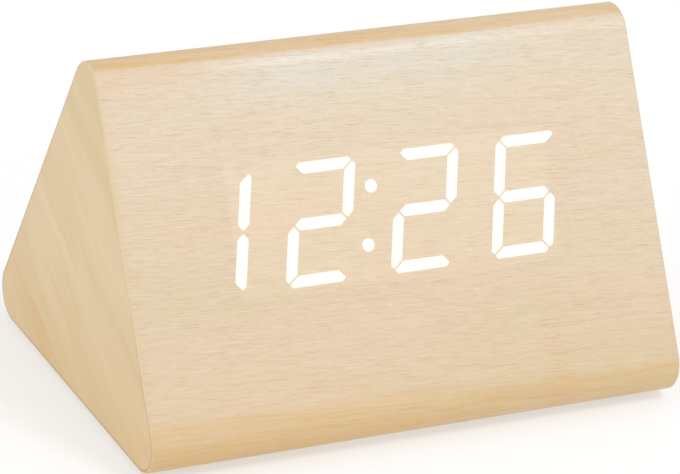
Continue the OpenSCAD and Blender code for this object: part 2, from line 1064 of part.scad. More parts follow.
module aaa_cell(k) {
  nub_r = 1.9;
  nub_h = 0.8;
  bevel = 0.4;
  r = cell_d / 2;
  color("#c98a2e")
    on_base()
      translate([0, cell_y(k), cell_rise])
        rotate([0, cell_dir(k) * 90, 0])
          translate([0, 0, bay_l / 2 - contact_t - cell_l])
            rotate_extrude()
              polygon([
                [0, 0], [r - bevel, 0], [r, bevel], [r, cell_l - nub_h - bevel],
                [r - bevel, cell_l - nub_h], [nub_r, cell_l - nub_h], [nub_r, cell_l],
                [0, cell_l]
              ]);
}

// Conical coil between an end plate and a cell's flat end
module contact_spring(k) {
  turns = 4;
  steps = 12;
  sides = 6;
  wire_r = 0.3;
  low_r = 3.5;
  top_r = 2.2;
  rise = spring_l - 2 * wire_r;
  count = turns * steps;
  start = -bay_l / 2 + contact_t + wire_r;
  on_base()
    translate([0, cell_y(k), cell_rise])
      rotate([0, 0, cell_dir(k) > 0 ? 0 : 180])
        wire([
          for (i = [0:count])
            let (t = i / count, a = i * 360 / steps, r = low_r + (top_r - low_r) * t)
              [start + rise * t, r * cos(a), r * sin(a)]
        ], wire_r, sides);
}

module battery_springs() {
  color("#c8ccd0")
    for (k = [0:cells - 1])
      contact_spring(k);
}

module battery_contacts() {
  plate_s = 9.4;
  color("#c8ccd0")
    on_base()
      for (k = [0:cells - 1], s = [-1, 1])
        translate([s * (bay_l - contact_t) / 2, cell_y(k), 0]) {
          block(contact_t, plate_s, cell_rise - plate_s / 2, cell_rise + plate_s / 2);
          if (s > 0 && (k == 0 || k == cells - 1))
            block(contact_t, terminal_w, cell_rise, tray_top + terminal_h);
        }
}

// Lead from a terminal to the main board, square to both at its ends
module battery_lead(y, x) {
  steps = 14;
  sides = 8;
  pull = 6;
  board_yz = back_yz(lead_v, inner_w);
  start = [(bay_l - contact_t) / 2, y, tray_top + terminal_h];
  stop = [x, board_yz[0], board_yz[1]];
  up = [0, 0, 1];
  inwards = [0, -root3 / 2, -1 / 2];
  path = [
    start + up, start + pull / 2 * (up + inwards / 2) + up, stop + pull * inwards, stop + inwards
  ];
  on_base()
    wire(concat(
      [start], [for (i = [0:steps]) curve(path, i / steps)], [stop]
    ), lead_r, sides);
}

module battery_lead_red() {
  color("#b3261e")
    battery_lead(cell_y(0), red_lead_x);
}

module battery_lead_black() {
  color("#1b1c1e")
    battery_lead(cell_y(cells - 1), red_lead_x - lead_pitch);
}

module rubber_feet() {
  edge = 0.3;
  color("#2b2b2b")
    for (x = [-1, 1], y = [-1, 1])
      translate([x * foot_x, y * foot_y, 0]) {
        cylinder(r1 = foot_d / 2 - edge, r2 = foot_d / 2, h = edge);
        rod(foot_d / 2, edge, foot_h);
      }
}

case_body();
wood_film();
end_cap(-1);  // end_cap_left
end_cap(1);  // end_cap_right
end_film(-1);  // end_film_left
end_film(1);  // end_film_right
display_housing();
digit_guides(0);  // hour_tens
digit_guides(1);  // hour_units
colon_guides();  // colon
digit_guides(2);  // minute_tens
digit_guides(3);  // minute_units
unlit_guides();
display_board();
led_chips();
display_screws();
display_header();
ribbon_cable();
control_plate();
plate_screws();
button(set_u, 0);  // set_button
button(up_u, 1);  // up_button
button(down_u, -1);  // down_button
switch_body(set_u);  // set_switch
switch_body(up_u);  // up_switch
switch_body(down_u);  // down_switch
switch_plunger(set_u);  // set_plunger
switch_plunger(up_u);  // up_plunger
switch_plunger(down_u);  // down_plunger
power_socket();
socket_pin();
main_board();
board_spacers();
board_screws();
controller_chip();
crystal();
capacitor();
thermistor();
coin_holder();
coin_cell();
sounder();
microphone();
board_header();
battery_tray();
tray_screws();
battery_door();
aaa_cell(0);  // aaa_cell_1
aaa_cell(1);  // aaa_cell_2
aaa_cell(2);  // aaa_cell_3
aaa_cell(3);  // aaa_cell_4
battery_springs();
battery_contacts();
battery_lead_red();
battery_lead_black();
rubber_feet();
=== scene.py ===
"""Looks of a triangular digital desk clock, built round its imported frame.

The wood-grain film and the end panels are new surfaces. The glowing digits, the controls,
the battery bay and the works inside keep their own solids and get finishes.
Lengths are in metres: X runs along the case, the display looks towards -Y, Z is up.
"""
import math

import bpy
import numpy as np
from bpy.props import FloatProperty, FloatVectorProperty, PointerProperty
from mathutils import Matrix, Vector


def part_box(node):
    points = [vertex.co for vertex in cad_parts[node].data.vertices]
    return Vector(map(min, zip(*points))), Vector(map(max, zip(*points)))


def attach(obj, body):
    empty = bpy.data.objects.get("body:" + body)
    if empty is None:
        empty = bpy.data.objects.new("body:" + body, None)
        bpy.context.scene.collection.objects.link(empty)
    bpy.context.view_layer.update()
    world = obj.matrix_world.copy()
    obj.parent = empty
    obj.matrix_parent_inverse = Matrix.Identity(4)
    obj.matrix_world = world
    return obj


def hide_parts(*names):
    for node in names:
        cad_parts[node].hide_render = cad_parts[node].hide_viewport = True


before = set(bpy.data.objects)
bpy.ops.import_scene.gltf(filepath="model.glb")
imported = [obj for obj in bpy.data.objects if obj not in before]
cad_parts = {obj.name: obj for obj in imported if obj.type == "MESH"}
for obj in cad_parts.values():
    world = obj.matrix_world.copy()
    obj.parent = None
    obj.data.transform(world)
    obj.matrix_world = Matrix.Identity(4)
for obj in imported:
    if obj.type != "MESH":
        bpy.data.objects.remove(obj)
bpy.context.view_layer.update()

bl_info = {
    "name": "Triangular desk clock",
    "version": (1, 0, 0),
    "blender": (4, 5, 0),
    "location": "3D View > Sidebar > Clock",
    "description": (
        "Wood-film case, glowing digits, controls, battery bay and studio of a desk clock"),
    "category": "Object",
}

MM = 0.001
ROOT3 = math.sqrt(3)
FRONT_OUT = np.array((0.0, -ROOT3 / 2, 0.5))
FRONT_UP = np.array((0.0, 0.5, ROOT3 / 2))
BACK_OUT = np.array((0.0, ROOT3 / 2, 0.5))
BACK_UP = np.array((0.0, -0.5, ROOT3 / 2))
ARC_DEGREES = 120
PLATE_CORNER = 4 * MM
TRAY_CORNER = 3 * MM
PANEL_RIM = 0.08 * MM
PANEL_RINGS, RIM_STEPS, FOLD_STEPS = 8, 6, 6
LIT_NODES = ("hour_tens", "hour_units", "colon", "minute_tens", "minute_units")

# Values of the film's bend attribute where an end folds over and on the walls of a seam
FOLD_MARK = 0.3
SEAM_MARK = 2.0

# Middle and widths of the film's knot, in millimetres
KNOT_MIDDLE = (32, -37, 13)
KNOT_WIDTHS = (5, 14, 20)

# Colours of small features
# PAINTED_SHEEN is a painted highlight under the top front edge
PAINTED_SHEEN = (0.70, 0.68, 0.60)
GRAIN_LINE = (0.60, 0.38, 0.20)
PALE_DASH = (1.0, 0.92, 0.80)
LIT_FILM = (1.0, 0.80, 0.57)
KNOT_TAN = (0.70, 0.44, 0.27)
KNOT_FIBRE = (0.62, 0.32, 0.13)
KNOT_RED = (0.74, 0.38, 0.18)
# Painted shade on the long edges: its darker fibres and its deepest streaks near the base
SHADED_EDGE_FIBRE = (0.54, 0.30, 0.10)
RUSTY_SHADE = (0.70, 0.36, 0.15)
SEAM_SHADE = (0.20, 0.11, 0.05)
END_WARM = (0.68, 0.42, 0.19)
END_LOW = (0.68, 0.45, 0.19)
SEGMENT_RIM = (0.94, 0.90, 0.77)
MARK_PAINT = (0.66, 0.66, 0.64)
CELL_BLACK = (0.022, 0.022, 0.024)
CELL_STEEL = (0.66, 0.65, 0.62)

# Stage: what the lights aim at, where they hang, and how the photograph's frame is set
AIM = Vector((0.0, 0.0, 35 * MM))
KEY_PLACE, KEY_SIZE = (0.470, -0.814, 1.294), 0.42
FILL_PLACE, FILL_SIZE = (-1.25, -0.30, 0.45), 0.8
FLOOR_REACH = 30.0
PHOTO_WIDTH = 680
FRAME_MIDDLE_UP = 40 * MM
FRAME_SLIDE_RIGHT, FRAME_SLIDE_UP = -1.790 * MM, -11.666 * MM


def reach(node, direction):
    """Largest distance that a node's points go along a direction from the origin."""
    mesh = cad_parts[node].data
    flat = np.empty(len(mesh.vertices) * 3)
    mesh.vertices.foreach_get("co", flat)
    return float((flat.reshape(-1, 3) @ np.asarray(direction)).max())


FILM_LOW, FILM_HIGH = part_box("wood_film")
BASE_Z = FILM_LOW.z
CASE_LENGTH = FILM_HIGH.x - FILM_LOW.x
SIDE = (reach("hour_tens", FRONT_OUT) - BASE_Z / 2) * 4 / ROOT3


class CaseLook(bpy.types.PropertyGroup):
    """Sizes and colours of the wood-grain film and the end panels."""

    edge_radius: FloatProperty(
        name="Edge radius", description="Radius of the three long edges",
        default=6.4 * MM, unit="LENGTH")
    film_sink: FloatProperty(
        name="Film sink", description="How far the film lies under the face of the lit digits",
        default=0.02 * MM, unit="LENGTH")
    film_thickness: FloatProperty(
        name="Film thickness", description="Thickness shown where the film is cut",
        default=0.4 * MM, unit="LENGTH")
    cut_gap: FloatProperty(
        name="Cut gap", description="Gap between the film and the plates set into it",
        default=0.2 * MM, unit="LENGTH")
    end_ease: FloatProperty(
        name="End ease", description="Radius of the film's fold at each end of the case",
        default=0.6 * MM, unit="LENGTH")
    seam: FloatProperty(
        name="Seam", description="Width of the seam between the film and an end panel",
        default=0.10 * MM, unit="LENGTH")
    top_seam: FloatProperty(
        name="Top seam", description="Width of that seam at the case's top edge",
        default=0.03 * MM, unit="LENGTH")
    cream: FloatVectorProperty(
        name="Cream", description="Main colour of the film high on a face",
        default=(0.718, 0.606, 0.454), subtype="COLOR")
    # Straw is painted shade: each face goes darker and yellower towards its base
    straw: FloatVectorProperty(
        name="Straw", description="Yellower colour of the film low on a face",
        default=(0.660, 0.526, 0.328), subtype="COLOR")
    blush: FloatVectorProperty(
        name="Blush", description="Pinker colour of the film's soft bands",
        default=(0.728, 0.565, 0.406), subtype="COLOR")
    grain: FloatVectorProperty(
        name="Grain", description="Colour of the fine dark dashes of the grain",
        default=(0.56, 0.38, 0.21), subtype="COLOR")
    # Amber also serves as painted shade on the long edges, where they turn from the light
    amber: FloatVectorProperty(
        name="Amber", description="Deeper colour of the film where it bends round the long edges",
        default=(0.66, 0.43, 0.165), subtype="COLOR")
    end_cream: FloatVectorProperty(
        name="End cream", description="Main colour of the end panels",
        default=(0.722, 0.566, 0.350), subtype="COLOR")
    end_straw: FloatVectorProperty(
        name="End straw", description="Darker colour of the end panels' streaks",
        default=(0.662, 0.500, 0.278), subtype="COLOR")


class DisplayLook(bpy.types.PropertyGroup):
    """Colour and strength of the lit segments."""

    glow: FloatVectorProperty(
        name="Glow", description="Colour of the lit segments",
        default=(1.0, 0.99, 0.975), subtype="COLOR")
    glow_strength: FloatProperty(
        name="Glow strength", description="Brightness of the lit segments",
        default=1.0, min=0.0)


class ControlsLook(bpy.types.PropertyGroup):
    """Colours of the plastic, rubber and metal pieces that can be seen or reached."""

    plastic: FloatVectorProperty(
        name="Plastic", description="Colour of the control plate, battery tray and door",
        default=(0.020, 0.020, 0.022), subtype="COLOR")
    button: FloatVectorProperty(
        name="Button", description="Colour of the push buttons",
        default=(0.045, 0.046, 0.050), subtype="COLOR")
    rubber: FloatVectorProperty(
        name="Rubber", description="Colour of the feet",
        default=(0.030, 0.030, 0.031), subtype="COLOR")
    jacket: FloatVectorProperty(
        name="Cell jacket", description="Bright colour of the cells' jackets",
        default=(0.62, 0.32, 0.06), subtype="COLOR")


class StageLook(bpy.types.PropertyGroup):
    """Floor, lights and camera."""

    floor: FloatVectorProperty(
        name="Floor", description="Colour of the floor",
        default=(0.50, 0.50, 0.50), subtype="COLOR")
    floor_glow: FloatProperty(
        name="Floor glow", description="Light that the floor gives off, as a light table does",
        default=0.48, min=0.0)
    sky_strength: FloatProperty(
        name="Sky strength", description="Strength of the even light from all round",
        default=0.84, min=0.0)
    key_power: FloatProperty(
        name="Key power", description="Power of the large light above the front, in watts",
        default=6.2, min=0.0)
    fill_power: FloatProperty(
        name="Fill power", description="Power of the light at the left end, in watts",
        default=2.4, min=0.0)
    azimuth: FloatProperty(
        name="Azimuth", description="Camera's turn round the clock",
        default=math.radians(-27.431), unit="ROTATION")
    elevation: FloatProperty(
        name="Elevation", description="Camera's height angle",
        default=math.radians(24.826), unit="ROTATION")
    roll: FloatProperty(
        name="Roll", description="Camera's lean about its own axis",
        default=math.radians(4.401), unit="ROTATION")
    distance: FloatProperty(
        name="Distance", description="Camera's distance from the middle of the clock",
        default=773.364 * MM, unit="LENGTH")
    focal_pixels: FloatProperty(
        name="Focal length", description="Camera's focal length in pixels of the picture",
        default=3724.102)


class Field:
    """A socket in a finish: sums, differences, products and quotients of fields add Math nodes."""

    def __init__(self, finish, socket):
        self.finish = finish
        self.socket = socket

    def math(self, operation, first, second):
        """Result of a Math node's operation on two fields or numbers."""
        return self.finish.node("ShaderNodeMath", {"operation": operation}, {0: first, 1: second})

    def __add__(self, other):
        return self.math("ADD", self, other)

    def __radd__(self, other):
        return self.math("ADD", other, self)

    def __sub__(self, other):
        return self.math("SUBTRACT", self, other)

    def __rsub__(self, other):
        return self.math("SUBTRACT", other, self)

    def __mul__(self, other):
        return self.math("MULTIPLY", self, other)

    def __rmul__(self, other):
        return self.math("MULTIPLY", other, self)

    def __truediv__(self, other):
        return self.math("DIVIDE", self, other)

    def __rtruediv__(self, other):
        return self.math("DIVIDE", other, self)

    def __pow__(self, other):
        return self.math("POWER", self, other)


class Finish:
    """A material being written: each call adds nodes and gives back a field."""

    def __init__(self, name):
        self.material = bpy.data.materials.new(name)
        self.material.use_nodes = True
        self.tree = self.material.node_tree
        self.tree.nodes.clear()

    def node(self, kind, settings=None, values=None, out=0):
        """Adds any node: its settings first, then values or links on its sockets."""
        made = self.tree.nodes.new(kind)
        for key, value in (settings or {}).items():
            setattr(made, key, value)
        for key, value in (values or {}).items():
            if isinstance(value, Field):
                self.tree.links.new(value.socket, made.inputs[key])
            else:
                made.inputs[key].default_value = value
        return None if out is None else Field(self, made.outputs[out])

    def place_mm(self):
        """X, Y and Z of the shaded point in millimetres."""
        spot = self.node("ShaderNodeTexCoord", out="Object")
        scaled = self.node("ShaderNodeVectorMath", {"operation": "SCALE"},
                           {0: spot, "Scale": 1 / MM})
        split = self.node("ShaderNodeSeparateXYZ", values={0: scaled})
        outs = split.socket.node.outputs
        return [Field(self, outs[name]) for name in "XYZ"]

    def vector(self, x, y, z):
        """Vector of three fields or numbers."""
        return self.node("ShaderNodeCombineXYZ", values={"X": x, "Y": y, "Z": z})

    def noise(self, vector, detail=2.0, roughness=0.5):
        """Cloudy value round 0.5 whose features are one unit of the vector across."""
        return self.node("ShaderNodeTexNoise", {"noise_dimensions": "3D"},
                         {"Vector": vector, "Scale": 1.0, "Detail": detail,
                          "Roughness": roughness}, "Fac")

    def cloud(self, place, size, detail=2.0, roughness=0.5):
        """Cloudy value with features of a size in millimetres, or of one for each way."""
        sizes = size if isinstance(size, tuple) else (size,) * 3
        spot = self.vector(*(way / width for way, width in zip(place, sizes)))
        return self.noise(spot, detail, roughness)

    def between(self, value, low, high):
        """0 below low, 1 above high and a soft step from one to the other."""
        return self.node("ShaderNodeMapRange", {"interpolation_type": "SMOOTHSTEP"},
                         {"Value": value, "From Min": low, "From Max": high})

    def mix(self, share, first, second):
        """Colour that goes from the first to the second with the share."""
        return self.node("ShaderNodeMix", {"data_type": "RGBA"},
                         {0: share, 6: opaque(first), 7: opaque(second)}, 2)

    def layers(self, colour, *layers):
        """A colour with others laid over it in turn: each layer is its share and its colour."""
        for share, over in layers:
            colour = self.mix(share, colour, over)
        return colour

    def edge_round(self, radius):
        """Surface direction rounded over the solid's sharp edges."""
        return self.node("ShaderNodeBevel", {"samples": 6}, {"Radius": radius})

    def edge_mask(self, rounded, low=0.01, high=0.2):
        """1 on sharp edges and 0 on flat faces, from how far the rounded direction leans."""
        true = self.node("ShaderNodeNewGeometry", out="True Normal")
        lean = self.node("ShaderNodeVectorMath", {"operation": "DOT_PRODUCT"},
                         {0: rounded, 1: true}, "Value")
        return self.between(1 - lean, low, high)

    def bump(self, height, depth, normal=None):
        """Direction of a surface whose height varies by a depth in metres."""
        values = {"Height": height, "Distance": depth, "Strength": 1.0}
        if normal is not None:
            values["Normal"] = normal
        return self.node("ShaderNodeBump", values=values)

    def surface(self, **values):
        """Ends the material in a Principled shader with these sockets, spaces in place of _."""
        sockets = {key.replace("_", " "): value for key, value in values.items()}
        sockets["Base Color"] = opaque(sockets["Base Color"])
        shader = self.node("ShaderNodeBsdfPrincipled", values=sockets)
        self.node("ShaderNodeOutputMaterial", values={"Surface": shader}, out=None)
        return self.material


def opaque(colour):
    """A colour of three numbers with full alpha; a field is left as it is."""
    return colour if isinstance(colour, Field) else (*tuple(colour)[:3], 1.0)


def way_along(direction, y, z):
    """How far a point goes along a direction across the case."""
    return y * direction[1] + z * direction[2]


def section(radius, inset, arc_steps=16):
    """Outline of the case's section, counted from its base, and its outward directions.

    Three arcs of 120 degrees about the corner centres of an equal-sided triangle; the straight
    faces are the chords between them. An inset, one number or one for each arc, makes the
    arcs' radius smaller. The corner centres lie a radius inside the faces. The arcs run
    anticlockwise from the front's low edge, and the last one is the top edge's.
    """
    half = SIDE / 2 - ROOT3 * radius
    centres = np.array(((-half, radius), (half, radius), (0.0, radius + half * ROOT3)))
    turn = np.radians(np.linspace(0, ARC_DEGREES, arc_steps + 1))
    start = np.radians((150, 270, 30))
    angles = start[:, None] + turn[None, :]
    out = np.stack((np.cos(angles), np.sin(angles)), axis=-1)
    points = centres[:, None, :] + (radius - np.reshape(inset, (-1, 1, 1))) * out
    return points, out


def seam_widths(look):
    """Width of the seam at each of the section's three arcs."""
    return np.array((look.seam, look.seam, look.top_seam))


def closed_loop(arcs):
    """The three arcs of a section as one closed run of points."""
    run = arcs.reshape(-1, arcs.shape[-1])
    return np.concatenate((run, run[:1]))


def along_case(outline, x):
    """Points of an outline in Y and height above the base, set at X."""
    x = np.broadcast_to(np.asarray(x, dtype=float), outline.shape[:-1])
    return np.stack((x, outline[..., 0], outline[..., 1] + BASE_Z), axis=-1)


def facing(directions, along=0.0):
    """Outward directions of a section's points, leaning along X by a share."""
    flat = math.sqrt(max(0.0, 1 - along * along))
    x = np.full(directions.shape[:-1], along)
    return np.stack((x, flat * directions[..., 0], flat * directions[..., 1]), axis=-1)


def ring_round_opening(outer_x, low, high, half_l, half_w, corner_r, corner_steps=8):
    """Inner and outer edge of a rectangle with a round-cornered opening at its origin.

    Each corner arc of the opening is carried along its own radius to the rectangle, and one
    of its steps points into the rectangle's corner. Gives inner, outer and inner directions.
    """
    inner, outer, out = [], [], []
    for sign_x, sign_t, quarter in ((1, 1, 0), (-1, 1, 1), (-1, -1, 2), (1, -1, 3)):
        centre = np.array((sign_x * (half_l - corner_r), sign_t * (half_w - corner_r)))
        room = np.array((outer_x, high if sign_t > 0 else low)) - np.abs(centre)
        to_corner = math.atan2(room[1], room[0])
        middle = to_corner if sign_x == sign_t else math.pi / 2 - to_corner
        first = np.linspace(0, middle, corner_steps + 1)
        second = np.linspace(middle, math.pi / 2, corner_steps + 1)[1:]
        angle = quarter * math.pi / 2 + np.concatenate((first, second))
        way = np.stack((np.cos(angle), np.sin(angle)), axis=-1)
        span = (room / np.maximum(np.abs(way), 1e-9)).min(axis=1)
        inner.append(centre + corner_r * way)
        outer.append(centre + span[:, None] * way)
        out.append(way)
    inner, outer, out = (np.concatenate(rows) for rows in (inner, outer, out))
    return tuple(np.concatenate((run, run[:1])) for run in (inner, outer, out))


def join_patches(name, patches):
    """One mesh from grids of points: each patch is (points, outward directions, marks).

    A grid's neighbours make quads, turned so that they face outwards. Points that share a
    place and a direction become one, so seams and poles close.
    """
    points = np.concatenate([p[0].reshape(-1, 3) for p in patches])
    normals = np.concatenate([p[1].reshape(-1, 3) for p in patches])
    marks = np.concatenate([np.broadcast_to(p[2], p[0].shape[:2]).reshape(-1) for p in patches])
    quads, first = [], 0
    for grid, _, _ in patches:
        rows, columns = grid.shape[:2]
        index = first + np.arange(rows * columns).reshape(rows, columns)
        quad = np.stack((index[:-1, :-1], index[1:, :-1], index[1:, 1:], index[:-1, 1:]), axis=-1)
        quad = quad.reshape(-1, 4)
        cross = np.cross(points[quad[:, 2]] - points[quad[:, 0]],
                         points[quad[:, 3]] - points[quad[:, 1]])
        if (cross * normals[quad[:, 1]]).sum() < 0:
            quad = quad[:, ::-1]
        quads.append(quad)
        first += rows * columns
    key = np.concatenate((np.round(points / 1e-8), np.round(normals * 1e3)), axis=1)
    _, keep, same = np.unique(key, axis=0, return_index=True, return_inverse=True)
    quads = same.reshape(-1)[np.concatenate(quads)]
    pole = quads[:, 0] == quads[:, 3]
    mesh = bpy.data.meshes.new(name)
    mesh.from_pydata(points[keep], [], quads[~pole].tolist() + quads[pole][:, :3].tolist())
    mesh.polygons.foreach_set("use_smooth", np.ones(len(mesh.polygons), dtype=bool))
    bend = mesh.attributes.new("bend", "FLOAT", "POINT")
    bend.data.foreach_set("value", marks[keep].astype(np.float32))
    mesh.normals_split_custom_set_from_vertices(normals[keep])
    mesh.update()
    return mesh


def add_piece(mesh, finish, body, slot, *stands_for):
    """Puts a new piece in the scene with its finish, on its body, for the nodes it stands for."""
    piece = bpy.data.objects.new(mesh.name, mesh)
    bpy.context.scene.collection.objects.link(piece)
    mesh.materials.append(finish)
    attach(piece, body)
    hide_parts(*stands_for)


def dress(finish, *nodes):
    """Gives a finish to solids of the frame that stay in view."""
    for node in nodes:
        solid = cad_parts[node]
        if not solid.material_slots:
            solid.data.materials.append(finish)
        for slot in solid.material_slots:
            slot.material = finish


def light_through_film(f, x, y, z):
    """1 on the film round the lit digits and 0 elsewhere: a box on the front with soft edges."""
    left = min(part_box(node)[0].x for node in LIT_NODES) / MM
    right = max(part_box(node)[1].x for node in LIT_NODES) / MM
    bottom = -max(reach(node, -FRONT_UP) for node in LIT_NODES) / MM
    top = max(reach(node, FRONT_UP) for node in LIT_NODES) / MM
    face = reach(LIT_NODES[0], FRONT_OUT) / MM
    up, out = way_along(FRONT_UP, y, z), way_along(FRONT_OUT, y, z)
    along = f.between(x, left + 0.4, left + 1.6) * (1 - f.between(x, right - 3.2, right - 2))
    across = f.between(up, bottom - 2.5, bottom) * (1 - f.between(up, top, top + 2.5))
    return along * across * f.between(out, face - 1, face - 0.5)


def bend_mark(f):
    """The piece's own bend: 0 on flat film, up to 1 round a long edge, SEAM_MARK in a seam."""
    return f.node("ShaderNodeAttribute", {"attribute_name": "bend"}, out="Fac")


def seam_share(f, bend, z):
    """1 on the walls of a seam near the base, and little near the top edge."""
    return f.between(bend, 1.3, 1.8) * (1 - f.between(z, 18, 48) * 0.85)


def knot_share(place):
    """1 in the middle of the film's knot, less with the distance counted in its own widths."""
    off_x, off_y, off_z = (
        (way - middle) / width for way, middle, width in zip(place, KNOT_MIDDLE, KNOT_WIDTHS))
    return 1 / (1 + off_x * off_x + off_y * off_y + off_z * off_z) ** 3


class Grain:
    """Patterns of the film's grain: clouds stretched along X that fall slightly towards +X.

    A slow sway moves them across the grain, so that the fibres run in long waves. Round the
    knot the sway is stronger.
    """

    def __init__(self, f, place, knot):
        x, y, z = place
        slow = f.cloud(place, (70, 22, 22), detail=1.0)
        quick = f.cloud(place, (9, 5, 5), detail=1.0)
        sway = (slow - 0.5) * 1.6 + (quick - 0.5) * (0.2 + knot * 1.6)
        self.f, self.x = f, x
        self.run_y, self.run_z = y + x * 0.030 + sway, z + x * 0.052 + sway
        self.bands = self.stretched(80, 8, 3.1)
        self.lines = f.between(self.stretched(42, 0.7, 23.8), 0.56, 0.70)
        self.tint = self.stretched(60, 12, 17.7, detail=1.0)
        self.streaks = self.stretched(34, 1.6, 55.2)
        self.fibres = self.stretched(20, 0.32, 41.3, detail=3.0, roughness=0.65)
        self.dark_dashes = f.between(self.stretched(4.4, 0.13, 77.9, detail=1.0), 0.60, 0.67)
        self.pale_dashes = f.between(self.stretched(5.0, 0.15, 9.4, detail=1.0), 0.59, 0.68)
        self.mottle = f.cloud(place, (0.7, 0.45, 0.45))

    def stretched(self, length, width, shift, detail=2.0, roughness=0.5):
        """Cloud with features of a length along X and a width across it, in millimetres."""
        spot = self.f.vector(self.x / length + shift, self.run_y / width, self.run_z / width)
        return self.f.noise(spot, detail, roughness)


def face_colour(f, look, place, grain):
    """Cream high on a face, straw low on it as painted shade, blush bands, a painted
    highlight under the top front edge, and grain.
    """
    x, y, z = place
    # Painted shade: cream goes to straw, darker and yellower, towards each face's base
    low = 1 - f.between(z + x * 0.08 + (grain.bands - 0.5) * 30, 5, 67)
    upper = f.between(z, 44, 52) * (1 - f.between(z, 60, 66))
    # Painted highlight: a paler, whiter sheen on the front just under the top edge, strongest in
    # the middle
    wear_and_sheen = f.between(z, 62.5, 71) * (1 - f.between(y, -4.6, -2.6))
    wear_and_sheen = wear_and_sheen * f.between(x, -50, -16) * (1 - f.between(x, 20, 38) * 0.65)
    return f.layers(
        look.cream,
        (low, look.straw),
        (f.between(grain.tint, 0.40, 0.66) * (0.8 - upper * 0.35), look.blush),
        (wear_and_sheen * (0.40 + grain.streaks * 0.7), PAINTED_SHEEN),
        (f.between(grain.fibres, 0.42, 0.72) * 0.20, look.grain),
        (grain.lines * 0.14, GRAIN_LINE),
        (grain.dark_dashes * 0.55, look.grain),
        (grain.pale_dashes * 0.18, PALE_DASH),
        (f.between(grain.mottle, 0.35, 0.7) * 0.12, look.grain))


def edge_colour(f, look, colour, bend, place, grain, knot):
    """Adds amber painted shade on the long edges, where they turn from the light, the light
    round the digits and the redder knot.

    Streaks make the painted shade's border uneven. On the lower edge it fades out up the
    front, higher towards the left end, and its lowest streaks there are a deeper, rusty shade.
    """
    x, y, z = place
    uneven = grain.streaks - 0.5
    to_right = f.between(x, -35, 45)
    lifted = (1 - f.between(x, -40, 0)) * f.between(z, 58, 66) * 0.16
    # Painted shade: amber where the long edges turn from the light
    shaded_edge = f.between(bend - lifted + uneven * (0.9 + knot * 1.6), 0.12, 0.75)
    spread = 1 - f.between(z + to_right * 2.2 + uneven * 4, 10.8, 14.2)
    shaded_edge = shaded_edge.math("MAXIMUM", shaded_edge, spread * f.between(z, 6, 9) * 0.85)
    # The painted shade is deeper near the base
    deep = 1 - f.between(z, 1.5, 10)
    depth = 0.50 - x * 0.001 + uneven * 0.9 + deep * (0.40 - to_right * 0.36)
    foot = (1 - f.between(z, 14, 28)) * (1 - to_right)
    # Deepest painted shade, on the lowest streaks at the left
    lowest_shade = shaded_edge * (1 - f.between(z, 1.5, 5)) * (1 - to_right)
    return f.layers(
        colour,
        (foot * 0.09, look.amber),
        (light_through_film(f, x, y, z) * 0.11, LIT_FILM),
        (knot * 0.10, KNOT_TAN),
        (shaded_edge * depth, look.amber),
        (lowest_shade * f.between(grain.streaks, 0.42, 0.60) * 0.30, RUSTY_SHADE),
        (shaded_edge * f.between(grain.fibres, 0.48, 0.70) * 0.30, SHADED_EDGE_FIBRE),
        (knot * f.between(grain.fibres, 0.50, 0.66) * 0.55, KNOT_FIBRE),
        (shaded_edge * knot * 0.35, KNOT_RED))


def fold_colour(f, look, colour, bend, place):
    """Brings the film to the end panels' colour on its folds, with a dark seam low down.

    Beside the left end the film is a little deeper in colour. The fold and its lip are found
    from the square of X, so both ends are alike.
    """
    x, _, z = place
    end, start = CASE_LENGTH / 2 / MM, (CASE_LENGTH / 2 - look.end_ease) / MM
    beside = (1 - f.between(x, -59.6, -57)) * f.between(z, 36, 52) * (1 - f.between(z, 56, 66))
    folded = f.between(x * x, start * start, end * end) * (0.3 + f.between(z, 4, 24) * 0.6)
    lip = f.between(x * x, (end - 0.12) ** 2, (end - 0.02) ** 2) * (1 - f.between(z, 18, 48))
    return f.layers(
        colour,
        ((1 - f.between(x, -60, -57.6)) * 0.10, look.amber),
        (beside * 0.24, look.end_straw),
        (folded, look.end_cream),
        (lip * 0.3, SEAM_SHADE),
        (seam_share(f, bend, z), SEAM_SHADE))


def film_finish(look):
    """Pale wood-grain film: long faces, long edges in painted shade, and folds at the ends.

    The relief follows the fibres and dashes. The gloss follows the fibres, and is duller under
    the top edge at the left.
    """
    f = Finish("wood_grain_film")
    x, _, z = place = f.place_mm()
    knot = knot_share(place)
    grain = Grain(f, place, knot)
    bend = bend_mark(f)
    colour = face_colour(f, look, place, grain)
    colour = edge_colour(f, look, colour, bend, place, grain, knot)
    colour = fold_colour(f, look, colour, bend, place)
    relief = f.bump(grain.fibres * 0.6 - grain.dark_dashes * 0.5, 0.02 * MM)
    dull = (1 - f.between(x, -52, -14)) * f.between(z, 56, 66)
    return f.surface(Base_Color=colour, Roughness=0.33 + grain.fibres * 0.14 + dull * 0.25,
                     Specular_IOR_Level=0.65, Normal=relief)


